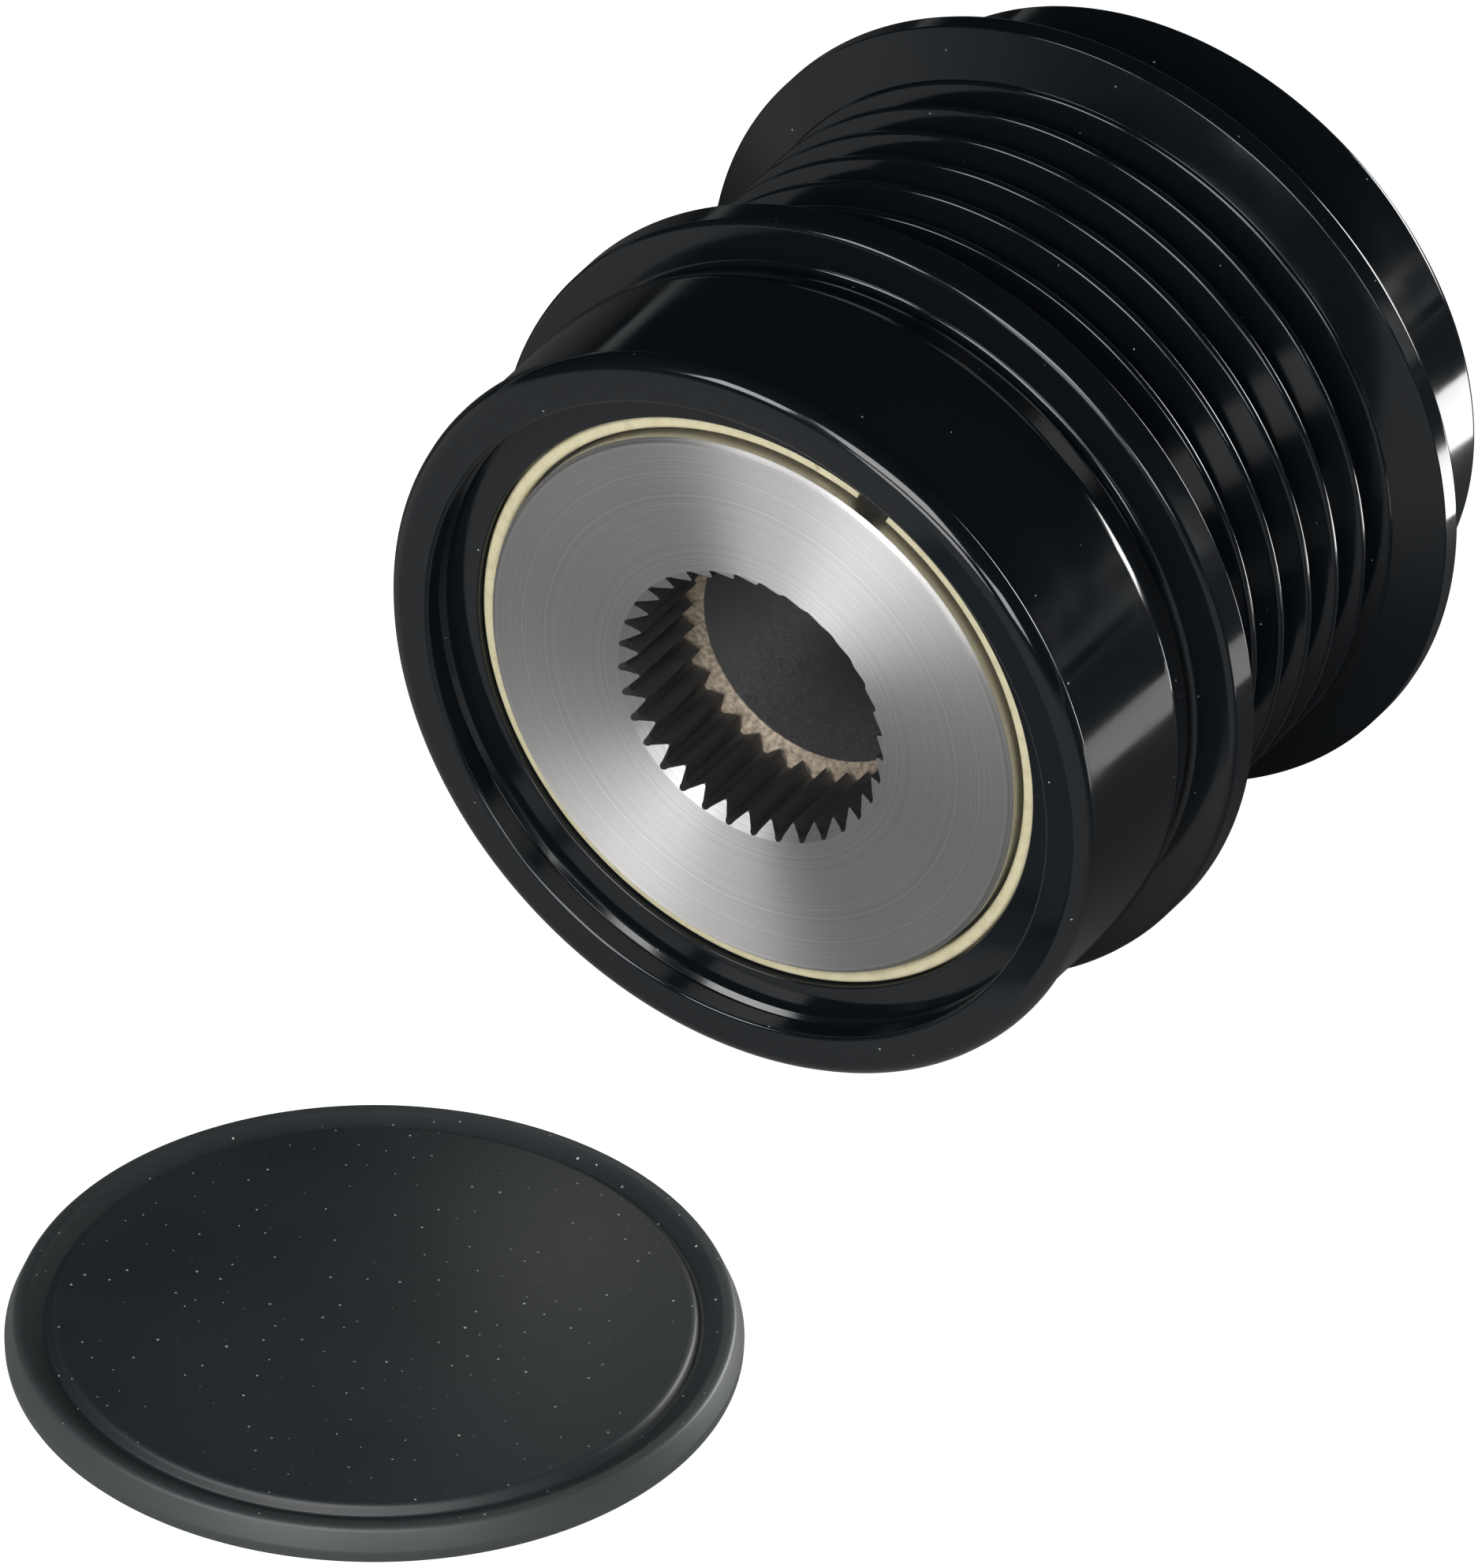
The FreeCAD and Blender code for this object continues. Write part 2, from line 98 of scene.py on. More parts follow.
def roundedProfile(corners, arcSteps, closed=True):
    # Formula in words: along each corner the tangent turns evenly from the incoming edge to the
    # outgoing one, and the point stays one fillet radius from the centre of that turn. Corners
    # hold a radius, a depth and a fillet radius; the outward direction at each point comes too.
    spots = np.array([corner[:2] for corner in corners])
    points, sides = [], []
    count = len(corners)
    for i, fillet in enumerate(corner[2] for corner in corners):
        if not closed and i in (0, count - 1):
            other = spots[1] - spots[0] if i == 0 else spots[-1] - spots[-2]
            angle = math.atan2(other[1], other[0])
            points.append(spots[i:i + 1])
            sides.append(np.array([[math.sin(angle), -math.cos(angle)]]))
            continue
        inwards, outwards = spots[i] - spots[i - 1], spots[(i + 1) % count] - spots[i]
        start = math.atan2(inwards[1], inwards[0])
        turn = (math.atan2(outwards[1], outwards[0]) - start + math.pi) % (2 * math.pi) - math.pi
        bend = math.copysign(1.0, turn)
        reach = fillet * math.tan(abs(turn) / 2)
        begin = spots[i] - inwards / np.linalg.norm(inwards) * reach
        centre = begin + bend * fillet * np.array([-math.sin(start), math.cos(start)])
        angles = start + turn * np.linspace(0, 1, arcSteps + 1)
        left = np.stack([-np.sin(angles), np.cos(angles)], axis=1)
        points.append(centre - bend * fillet * left)
        sides.append(-left)
    return np.concatenate(points), np.concatenate(sides)


def meshObject(name, points, faces, normals=None):
    # mesh in metres from arrays of points and of quads or triangles, turned to face outwards
    corners = points[faces]
    if faces.shape[1] == 4:
        split = np.concatenate([corners[:, [0, 1, 2]], corners[:, [0, 2, 3]]])
    else:
        split = corners
    volume = np.einsum("ij,ij->", split[:, 0], np.cross(split[:, 1], split[:, 2]))
    if volume < 0:
        faces = faces[:, ::-1]
    mesh = bpy.data.meshes.new(name)
    mesh.vertices.add(len(points))
    mesh.vertices.foreach_set("co", (points * mm).ravel())
    mesh.loops.add(faces.size)
    mesh.loops.foreach_set("vertex_index", faces.ravel())
    mesh.polygons.add(len(faces))
    mesh.polygons.foreach_set("loop_start", np.arange(len(faces)) * faces.shape[1])
    mesh.polygons.foreach_set("use_smooth", np.ones(len(faces), bool))
    mesh.update()
    mesh.validate()
    if normals is not None:
        mesh.normals_split_custom_set_from_vertices(normals)
    piece = bpy.data.objects.new(name, mesh)
    bpy.context.scene.collection.objects.link(piece)
    return piece


def alongPulley(across, up, depth):
    # a place on the pulley: across is X, up is Z, depth runs back from the hub's face
    return np.stack([across, depth - hubLength, up], axis=-1)


def turnedPiece(name, corners, arcSteps, segments):
    # Formula in words: the closed profile of radius and depth goes once round the axis, so the
    # point is radius times cosine and sine of the turn, and its depth along the axis.
    profile, side = roundedProfile(corners, arcSteps)
    turn = np.linspace(0, 2 * math.pi, segments, endpoint=False)
    ring = np.stack([np.cos(turn), np.sin(turn)], axis=1)
    flat = profile[None, :, 0, None] * ring[:, None, :]
    rows, columns = flat.shape[:2]
    depths = np.broadcast_to(profile[:, 1], (rows, columns))
    points = alongPulley(flat[..., 0], flat[..., 1], depths)
    slant = side[None, :, 0, None] * ring[:, None, :]
    rise = np.broadcast_to(side[:, 1], (rows, columns))
    origin = alongPulley(np.zeros(1), np.zeros(1), np.zeros(1))
    normals = alongPulley(slant[..., 0], slant[..., 1], rise) - origin
    here = np.arange(rows * columns).reshape(rows, columns)
    after = np.roll(here, -1, axis=0)
    faces = np.stack([here, np.roll(here, -1, 1), np.roll(after, -1, 1), after], axis=2)
    return meshObject(name, points.reshape(-1, 3), faces.reshape(-1, 4), normals.reshape(-1, 3))


# Camera at the photograph's angle, with a long lens

cameraView = {
    "azimuth": 32.03,
    "elevation": 35.65,
    "roll": 0.18,
    "aim": (0.993, -58.027, -4.267),    # what the middle of the picture shows
    "distance": 4600.0,
    "pixelsPerMm": 18.495,
    "pictureHeight": 1988,
    "clipEnd": 60000.0,
}


def setCamera():
    turn, tilt = math.radians(cameraView["azimuth"]), math.radians(cameraView["elevation"])
    forward = (-math.sin(turn) * math.cos(tilt), math.cos(turn) * math.cos(tilt), -math.sin(tilt))
    data = bpy.data.cameras.new("camera")
    data.sensor_fit = "AUTO"
    shown = cameraView["pictureHeight"] / cameraView["pixelsPerMm"]
    data.lens = data.sensor_width * cameraView["distance"] / shown
    data.clip_end = cameraView["clipEnd"] * mm
    camera = bpy.data.objects.new("camera", data)
    camera.location = [(a - f * cameraView["distance"]) * mm
                       for a, f in zip(cameraView["aim"], forward)]
    upright = Euler((math.pi / 2 - tilt, 0, turn)).to_matrix()
    rolled = upright @ Matrix.Rotation(math.radians(cameraView["roll"]), 3, "Z")
    camera.rotation_euler = rolled.to_euler()
    bpy.context.scene.collection.objects.link(camera)
    bpy.context.scene.camera = camera


setCamera()
print("stage: camera")


# Studio: pale floor, dark ceiling with a pale horizon, and soft lamps

studio = {
    "floorRadius": 16000.0,
    "floorSides": 64,
    "floorColour": "#d0d0d0",
    "paintedMirrorShade": "#5c5c5c",    # painted shade: the floor darker as the shiny coat reflects it
    "floorGlow": 0.88,          # added for the camera, so that the lit floor shows white
    "paintedPoolGlow": 0.32,         # painted light seen only in reflections, a glowing pool on the table's front
    "paintedPoolFull": -75.0,             # the painted pool fades out between these two places
    "paintedPoolEnd": -25.0,
    "horizonTop": 0.02,         # sine of the height where the pale horizon starts to fade
    "horizonEnd": 0.10,
    "horizon": "#8a8e90",
    "ceiling": "#1c1f22",
    "lampAim": (0.0, -45.0, 0.0),
    "lamps": [
        # name, direction from the aim, distance, wide, high, watts
        ("keyLamp", (0.20, -0.74, 0.64), 900.0, 560.0, 420.0, 5.6),
        ("frontLamp", (0.10, -0.97, 0.20), 900.0, 420.0, 200.0, 1.8),
        ("rightLamp", (0.70, -0.62, 0.36), 900.0, 320.0, 220.0, 1.7),
        ("leftLamp", (-0.40, -0.72, 0.57), 900.0, 300.0, 300.0, 2.4),
        ("backLamp", (0.42, 0.90, 0.06), 900.0, 560.0, 230.0, 7.0),
        ("sideCard", (0.81, 0.53, -0.24), 93.6, 30.0, 14.0, 0.0024),
        ("rearCard", (0.59, 0.78, -0.21), 97.0, 24.0, 18.0, 0.016),
    ],
}


def makeFloor():
    # Formula in words: one ring of points a full turn round, filled as a single face. In
    # reflections it shows a painted darker shade, and a painted pool of light on its front fades
    # into the dark with the distance along the pulley.
    sides = studio["floorSides"]
    turn = np.linspace(0, 2 * math.pi, sides, endpoint=False)
    reach = studio["floorRadius"] * mm
    rim = np.stack([np.cos(turn) * reach, np.sin(turn) * reach,
                    np.full(sides, floorHeight)], axis=1)
    mesh = bpy.data.meshes.new("floor")
    mesh.from_pydata(rim.tolist(), [], [list(range(sides))])
    floor = bpy.data.objects.new("floor", mesh)
    bpy.context.scene.collection.objects.link(floor)
    # pale paper: matt, no glare, holds a soft shadow, and shows white to the camera; in
    # reflections it shows a painted darker shade and a painted pool of light
    material, tree, output = newMaterial("pale paper floor")
    lightPath = addNode(tree, "ShaderNodeLightPath")
    bounced = addNode(tree, "ShaderNodeMath", {"operation": "MAXIMUM"},
                      {0: lightPath.outputs["Is Glossy Ray"],
                       1: lightPath.outputs["Is Transmission Ray"]})
    place = addNode(tree, "ShaderNodeTexCoord").outputs["Object"]
    split = addNode(tree, "ShaderNodeSeparateXYZ", None, {0: place})
    # painted light: a pool of glow on the table's front, seen only in reflections
    paintedPool = addNode(tree, "ShaderNodeMapRange", {"interpolation_type": "SMOOTHSTEP"},
                  {"Value": split.outputs["Y"], "From Min": studio["paintedPoolFull"] * mm,
                   "From Max": studio["paintedPoolEnd"] * mm, "To Min": studio["paintedPoolGlow"],
                   "To Max": 0.0})
    paintedPoolInShine = addNode(tree, "ShaderNodeMath", {"operation": "MULTIPLY"},
                          {0: bounced.outputs[0], 1: paintedPool.outputs[0]})
    glow = addNode(tree, "ShaderNodeMath", {"operation": "MULTIPLY_ADD"},
                   {0: lightPath.outputs["Is Camera Ray"], 1: studio["floorGlow"],
                    2: paintedPoolInShine.outputs[0]})
    # painted shade: reflections show the paper darker than its own colour
    seen = addNode(tree, "ShaderNodeMix", {"data_type": "RGBA"},
                   {"Factor": bounced.outputs[0], 6: linearColour(studio["floorColour"]),
                    7: linearColour(studio["paintedMirrorShade"])})
    paper = addNode(tree, "ShaderNodeBsdfPrincipled", None,
                    {"Base Color": seen.outputs[2], "Roughness": 1.0,
                     "Specular IOR Level": 0.0, "Emission Color": (1, 1, 1, 1),
                     "Emission Strength": glow.outputs[0]})
    tree.links.new(paper.outputs[0], output.inputs[0])
    mesh.materials.append(material)


def makeWorld():
    # plain white for the camera; in the shine, pale near the horizon like a studio's paper
    # roll, and dark above where the room is unlit
    world = bpy.data.worlds.new("studio")
    bpy.context.scene.world = world
    world.use_nodes = True
    tree = world.node_tree
    tree.nodes.clear()
    place = addNode(tree, "ShaderNodeTexCoord")
    split = addNode(tree, "ShaderNodeSeparateXYZ", None, {0: place.outputs["Generated"]})
    fade = addNode(tree, "ShaderNodeMapRange", {"interpolation_type": "SMOOTHSTEP"},
                   {"Value": split.outputs["Z"], "From Min": studio["horizonTop"],
                    "From Max": studio["horizonEnd"]})
    colour = addNode(tree, "ShaderNodeMix", {"data_type": "RGBA"},
                     {"Factor": fade.outputs[0], 6: linearColour(studio["horizon"]),
                      7: linearColour(studio["ceiling"])})
    lightPath = addNode(tree, "ShaderNodeLightPath")
    shown = addNode(tree, "ShaderNodeMix", {"data_type": "RGBA"},
                    {"Factor": lightPath.outputs["Is Camera Ray"], 6: colour.outputs[2],
                     7: (1.0, 1.0, 1.0, 1.0)})
    sky = addNode(tree, "ShaderNodeBackground", None, {"Color": shown.outputs[2], "Strength": 1.0})
    output = addNode(tree, "ShaderNodeOutputWorld")
    tree.links.new(sky.outputs[0], output.inputs[0])


def makeLamps():
    # each lamp stands off the aim along its direction and faces back to it
    middle = np.array(studio["lampAim"])
    for name, towards, distance, wide, high, watts in studio["lamps"]:
        unit = np.array(towards) / np.linalg.norm(towards)
        data = bpy.data.lights.new(name, "AREA")
        data.shape = "RECTANGLE"
        data.size, data.size_y = wide * mm, high * mm
        data.energy = watts
        lamp = bpy.data.objects.new(name, data)
        lamp.location = (middle + unit * distance) * mm
        lamp.rotation_euler = (math.acos(unit[2]), 0, math.atan2(unit[0], -unit[1]))
        lamp.visible_camera = False
        bpy.context.scene.collection.objects.link(lamp)


makeFloor()
makeWorld()
makeLamps()
bpy.context.scene.view_settings.view_transform = "Standard"
print("stage: studio")


# Materials

def speckMask(tree, place, spacing, size, dimensions="3D"):
    # dust: round specks of random strength up to that size, in cells of that spacing
    cells = addNode(tree, "ShaderNodeTexVoronoi", {"voronoi_dimensions": dimensions},
                    {"Vector": place, "Scale": 1 / (spacing * mm), "Randomness": 1.0})
    pick = addNode(tree, "ShaderNodeSeparateColor", None, {0: cells.outputs["Color"]})
    reach = addNode(tree, "ShaderNodeMath", {"operation": "MULTIPLY"},
                    {0: pick.outputs[0], 1: size / spacing})
    speck = addNode(tree, "ShaderNodeMath", {"operation": "LESS_THAN"},
                    {0: cells.outputs["Distance"], 1: reach.outputs[0]})
    strength = addNode(tree, "ShaderNodeMath", {"operation": "MULTIPLY"},
                       {0: speck.outputs[0], 1: pick.outputs[1]})
    return strength.outputs[0]


blackCoat = {
    "colour": "#0b1014",
    "dustColour": "#c0c5c4",
    "roughness": (0.07, 0.15),
    "smearSize": 9.0,
    "smearRange": (0.35, 0.7),  # the part of the noise that goes from shiny to dull
    "peelSize": 0.7,
    "peelDepth": 0.0012,
    "speckSpacing": 1.7,
    "speckSize": 0.09,
}


def makeBlackCoat():
    # glossy black dip coat on turned steel: a deep wet shine with a faint peel and a little dust
    material, tree, output = newMaterial("black dip coated steel")
    place = addNode(tree, "ShaderNodeTexCoord").outputs["Object"]
    smear = addNode(tree, "ShaderNodeTexNoise", None,
                    {"Vector": place, "Scale": 1 / (blackCoat["smearSize"] * mm), "Detail": 3.0})
    roughness = addNode(tree, "ShaderNodeMapRange", None,
                        {"Value": smear.outputs[0], "From Min": blackCoat["smearRange"][0],
                         "From Max": blackCoat["smearRange"][1],
                         "To Min": blackCoat["roughness"][0],
                         "To Max": blackCoat["roughness"][1]})
    dust = speckMask(tree, place, blackCoat["speckSpacing"], blackCoat["speckSize"])
    colour = addNode(tree, "ShaderNodeMix", {"data_type": "RGBA"},
                     {"Factor": dust, 6: linearColour(blackCoat["colour"]),
                      7: linearColour(blackCoat["dustColour"])})
    dulled = addNode(tree, "ShaderNodeMath", {"operation": "MAXIMUM"},
                     {0: roughness.outputs[0], 1: dust})
    peel = addNode(tree, "ShaderNodeTexNoise", None,
                   {"Vector": place, "Scale": 1 / (blackCoat["peelSize"] * mm), "Detail": 1.0})
    bump = addNode(tree, "ShaderNodeBump", None,
                   {"Height": peel.outputs[0], "Strength": 1.0,
                    "Distance": blackCoat["peelDepth"] * mm})
    coat = addNode(tree, "ShaderNodeBsdfPrincipled", None,
                   {"Base Color": colour.outputs[2], "Roughness": dulled.outputs[0], "IOR": 1.5,
                    "Normal": bump.outputs[0]})
    tree.links.new(coat.outputs[0], output.inputs[0])
    return material


turnedSteel = {
    "colour": "#cfcecd",
    "boreColour": "#6b6b6d",
    "stepColour": "#a59988",
    "roughness": 0.53,
    "boreRoughness": 0.55,
    "boreMetal": 0.86,          # the bore's oxide film scatters some of the light
    "stepMetal": 0.55,
    "stepRoughness": 0.75,
    "anisotropy": 0.84,         # the rings stretch the shine across themselves
    "feed": 0.23,               # spacing of the tool's rings, a real one is about half of it
    "ringDepth": 0.008,
    "ridgeShare": 0.35,         # even ridges on top of the uneven ones
    "ringTone": (0.70, 1.22),
    "gritSize": 0.35,
    "gritRange": (0.35, 0.65),
    "gritTone": (0.55, 1.15),
    "faceInner": 10.77,         # the serration's roots end the turned face
    "faceBehind": 0.9,
    "threadRadius": 7.5,        # the shaft's thread fills the hub inside this radius
    "threadPitch": 1.5,
    "threadDepth": 0.35,
    "stepFront": 7.9,
    "stepRear": 8.65,
}


def makeTurnedSteel():
    # steel turned on a lathe: fine rings that draw the light out into bright and dark sectors,
    # with a darker oily bore, a rough brown-grey step behind the serration and the shaft's
    # thread as relief, a helix that rises by one pitch a turn
    material, tree, output = newMaterial("face turned steel")
    place = addNode(tree, "ShaderNodeTexCoord").outputs["Object"]
    split = addNode(tree, "ShaderNodeSeparateXYZ", None, {0: place})
    outwards = addNode(tree, "ShaderNodeCombineXYZ", None,
                       {"X": split.outputs["X"], "Z": split.outputs["Z"]})
    radius = addNode(tree, "ShaderNodeVectorMath", {"operation": "LENGTH"},
                     {0: outwards.outputs[0]}).outputs["Value"]
    turning = addNode(tree, "ShaderNodeTexNoise", {"noise_dimensions": "1D"},
                      {"W": radius, "Scale": 1 / (turnedSteel["feed"] * mm), "Detail": 4.0,
                       "Roughness": 0.75})
    wave = addNode(tree, "ShaderNodeMath", {"operation": "MULTIPLY"},
                   {0: radius, 1: 2 * math.pi / (turnedSteel["feed"] * mm)})
    ridge = addNode(tree, "ShaderNodeMath", {"operation": "SINE"}, {0: wave.outputs[0]})
    height = addNode(tree, "ShaderNodeMath", {"operation": "MULTIPLY_ADD"},
                     {0: ridge.outputs[0], 1: turnedSteel["ridgeShare"],
                      2: turning.outputs[0]})
    depth = addNode(tree, "ShaderNodeMath", {"operation": "ADD"},
                    {0: split.outputs["Y"], 1: hubLength * mm})
    inBore = addNode(tree, "ShaderNodeMath", {"operation": "LESS_THAN"},
                     {0: radius, 1: turnedSteel["faceInner"] * mm})
    behind = addNode(tree, "ShaderNodeMath", {"operation": "GREATER_THAN"},
                     {0: depth.outputs[0], 1: turnedSteel["faceBehind"] * mm})
    bore = addNode(tree, "ShaderNodeMath", {"operation": "MULTIPLY"},
                   {0: inBore.outputs[0], 1: behind.outputs[0]}).outputs[0]
    stepFrom = addNode(tree, "ShaderNodeMath", {"operation": "GREATER_THAN"},
                       {0: depth.outputs[0], 1: turnedSteel["stepFront"] * mm})
    stepTo = addNode(tree, "ShaderNodeMath", {"operation": "LESS_THAN"},
                     {0: depth.outputs[0], 1: turnedSteel["stepRear"] * mm})
    stepBand = addNode(tree, "ShaderNodeMath", {"operation": "MULTIPLY"},
                       {0: stepFrom.outputs[0], 1: stepTo.outputs[0]})
    step = addNode(tree, "ShaderNodeMath", {"operation": "MULTIPLY"},
                   {0: stepBand.outputs[0], 1: inBore.outputs[0]}).outputs[0]
    ringTone = addNode(tree, "ShaderNodeMapRange", None,
                       {"Value": turning.outputs[0], "To Min": turnedSteel["ringTone"][0],
                        "To Max": turnedSteel["ringTone"][1]})
    face = addNode(tree, "ShaderNodeVectorMath", {"operation": "SCALE"},
                   {0: linearColour(turnedSteel["colour"])[:3], "Scale": ringTone.outputs[0]})
    darker = addNode(tree, "ShaderNodeMix", {"data_type": "RGBA"},
                     {"Factor": bore, 6: face.outputs[0],
                      7: linearColour(turnedSteel["boreColour"])})
    grit = addNode(tree, "ShaderNodeTexNoise", None,
                   {"Vector": place, "Scale": 1 / (turnedSteel["gritSize"] * mm),
                    "Detail": 4.0})
    speckled = addNode(tree, "ShaderNodeMapRange", None,
                       {"Value": grit.outputs[0], "From Min": turnedSteel["gritRange"][0],
                        "From Max": turnedSteel["gritRange"][1],
                        "To Min": turnedSteel["gritTone"][0],
                        "To Max": turnedSteel["gritTone"][1]})
    rust = addNode(tree, "ShaderNodeVectorMath", {"operation": "SCALE"},
                   {0: linearColour(turnedSteel["stepColour"])[:3], "Scale": speckled.outputs[0]})
    colour = addNode(tree, "ShaderNodeMix", {"data_type": "RGBA"},
                     {"Factor": step, 6: darker.outputs[2], 7: rust.outputs[0]})
    rough = addNode(tree, "ShaderNodeMix", {"data_type": "FLOAT"},
                    {"Factor": bore, 2: turnedSteel["roughness"],
                     3: turnedSteel["boreRoughness"]})
    roughness = addNode(tree, "ShaderNodeMix", {"data_type": "FLOAT"},
                        {"Factor": step, 2: rough.outputs[0], 3: turnedSteel["stepRoughness"]})
    relief = addNode(tree, "ShaderNodeMix", {"data_type": "FLOAT"},
                     {"Factor": bore, 2: height.outputs[0], 3: grit.outputs[0]})
    turn = addNode(tree, "ShaderNodeMath", {"operation": "ARCTAN2"},
                   {0: split.outputs["Z"], 1: split.outputs["X"]})
    helix = addNode(tree, "ShaderNodeMath", {"operation": "MULTIPLY_ADD"},
                    {0: split.outputs["Y"], 1: 2 * math.pi / (turnedSteel["threadPitch"] * mm),
                     2: turn.outputs[0]})
    # the bump below is scaled by the rings' depth, so the thread's height is in ring depths
    thread = addNode(tree, "ShaderNodeMath", {"operation": "SINE"}, {0: helix.outputs[0]})
    groove = addNode(tree, "ShaderNodeMath", {"operation": "MULTIPLY"},
                     {0: thread.outputs[0],
                      1: turnedSteel["threadDepth"] / turnedSteel["ringDepth"]})
    inThread = addNode(tree, "ShaderNodeMath", {"operation": "LESS_THAN"},
                       {0: radius, 1: turnedSteel["threadRadius"] * mm})
    cut = addNode(tree, "ShaderNodeMix", {"data_type": "FLOAT"},
                  {"Factor": inThread.outputs[0], 2: relief.outputs[0], 3: groove.outputs[0]})
    bump = addNode(tree, "ShaderNodeBump", None,
                   {"Height": cut.outputs[0], "Strength": 1.0,
                    "Distance": turnedSteel["ringDepth"] * mm})
    film = addNode(tree, "ShaderNodeMix", {"data_type": "FLOAT"},
                   {"Factor": bore, 2: 1.0, 3: turnedSteel["boreMetal"]})
    metal = addNode(tree, "ShaderNodeMix", {"data_type": "FLOAT"},
                    {"Factor": step, 2: film.outputs[0], 3: turnedSteel["stepMetal"]})
    tangent = addNode(tree, "ShaderNodeVectorTransform",
                      {"vector_type": "VECTOR", "convert_from": "OBJECT", "convert_to": "WORLD"},
                      {0: outwards.outputs[0]})
    steel = addNode(tree, "ShaderNodeBsdfPrincipled", None,
                    {"Base Color": colour.outputs[2], "Metallic": metal.outputs[0],
                     "Roughness": roughness.outputs[0], "Anisotropic": turnedSteel["anisotropy"],
                     "Tangent": tangent.outputs[0], "Normal": bump.outputs[0]})
    tree.links.new(steel.outputs[0], output.inputs[0])
    return material


# finish of the plainer inner pieces: name, colour, metallic, roughness, grain size, grain depth
# and how far the tone swings
plainFinishes = {
    "bearing_steel": ("ground bearing steel", "#a9abae", 1.0, 0.22, 0.25, 0.0008, 0.08),
    "pressed_steel": ("oiled pressed steel", "#74757a", 1.0, 0.38, 1.2, 0.004, 0.15),
    "spring_steel": ("rolled spring steel", "#8f9299", 1.0, 0.30, 0.4, 0.001, 0.10),
    "cage_plastic": ("moulded glass filled nylon", "#a58b5f", 0.0, 0.48, 0.30, 0.006, 0.18),
    "washer_plastic": ("machined bearing plastic", "#4b4c4f", 0.0, 0.50, 0.30, 0.004, 0.10),
    "seal_rubber": ("moulded nitrile rubber", "#1b1b1c", 0.0, 0.62, 0.6, 0.008, 0.12),
}


def makePlainFinish(slot):
    # a grain of the stated size breaks up both the tone and the shine, as on a used machine part
    name, colour, metallic, roughness, grain, relief, swing = plainFinishes[slot]
    material, tree, output = newMaterial(name)
    place = addNode(tree, "ShaderNodeTexCoord").outputs["Object"]
    pattern = addNode(tree, "ShaderNodeTexNoise", None,
                      {"Vector": place, "Scale": 1 / (grain * mm), "Detail": 4.0})
    tone = addNode(tree, "ShaderNodeMapRange", None,
                   {"Value": pattern.outputs[0], "To Min": 1 - swing, "To Max": 1 + swing})
    shade = addNode(tree, "ShaderNodeVectorMath", {"operation": "SCALE"},
                    {0: linearColour(colour)[:3], "Scale": tone.outputs[0]})
    shine = addNode(tree, "ShaderNodeMapRange", None,
                    {"Value": pattern.outputs[0], "To Min": roughness - swing / 2,
                     "To Max": roughness + swing / 2})
    bump = addNode(tree, "ShaderNodeBump", None,
                   {"Height": pattern.outputs[0], "Strength": 1.0, "Distance": relief * mm})
    surface = addNode(tree, "ShaderNodeBsdfPrincipled", None,
                      {"Base Color": shade.outputs[0], "Metallic": metallic,
                       "Roughness": shine.outputs[0], "Normal": bump.outputs[0]})
    tree.links.new(surface.outputs[0], output.inputs[0])
    return material


creamNylon = {
    "colour": "#c6bf9f",
    "shade": "#a0977a",
    "roughness": 0.52,
    "grain": 0.9,
    "grainRange": (0.45, 0.8),
    "shadeShare": 0.6,
    "depth": 0.004,
    "milkiness": 0.25,
    "lightReach": 0.4,          # how far light spreads inside
}


def makeCreamNylon():
    # natural moulded nylon: milky cream that lets a little light in, with a soft satin shine
    material, tree, output = newMaterial("natural moulded nylon")
    place = addNode(tree, "ShaderNodeTexCoord").outputs["Object"]
    cloud = addNode(tree, "ShaderNodeTexNoise", None,
                    {"Vector": place, "Scale": 1 / (creamNylon["grain"] * mm), "Detail": 3.0})
    mix = addNode(tree, "ShaderNodeMapRange", None,
                  {"Value": cloud.outputs[0], "From Min": creamNylon["grainRange"][0],
                   "From Max": creamNylon["grainRange"][1], "To Max": creamNylon["shadeShare"]})
    colour = addNode(tree, "ShaderNodeMix", {"data_type": "RGBA"},
                     {"Factor": mix.outputs[0], 6: linearColour(creamNylon["colour"]),
                      7: linearColour(creamNylon["shade"])})
    bump = addNode(tree, "ShaderNodeBump", None,
                   {"Height": cloud.outputs[0], "Strength": 1.0,
                    "Distance": creamNylon["depth"] * mm})
    nylon = addNode(tree, "ShaderNodeBsdfPrincipled", None,
                    {"Base Color": colour.outputs[2], "Roughness": creamNylon["roughness"],
                     "IOR": 1.53, "Subsurface Weight": creamNylon["milkiness"],
                     "Subsurface Scale": creamNylon["lightReach"] * mm,
                     "Subsurface Radius": (1.0, 0.8, 0.5), "Normal": bump.outputs[0]})
    tree.links.new(nylon.outputs[0], output.inputs[0])
    return material


capPlastic = {
    "colour": "#1b1f21",
    "wornColour": "#272c2e",
    "edgeColour": "#363b3c",
    "edgeFrom": 23.4,
    "edgeTo": 25.0,
    "dustColour": "#b0b5b1",
    "roughness": (0.40, 0.52),
    "cloudSize": 14.0,
    "grain": 0.22,
    "grainDepth": 0.0030,
    "speckSpacing": 2.1,
    "speckSize": 0.10,
    "dustLevel": 0.8,           # dust lies where the surface faces up at least this much
}


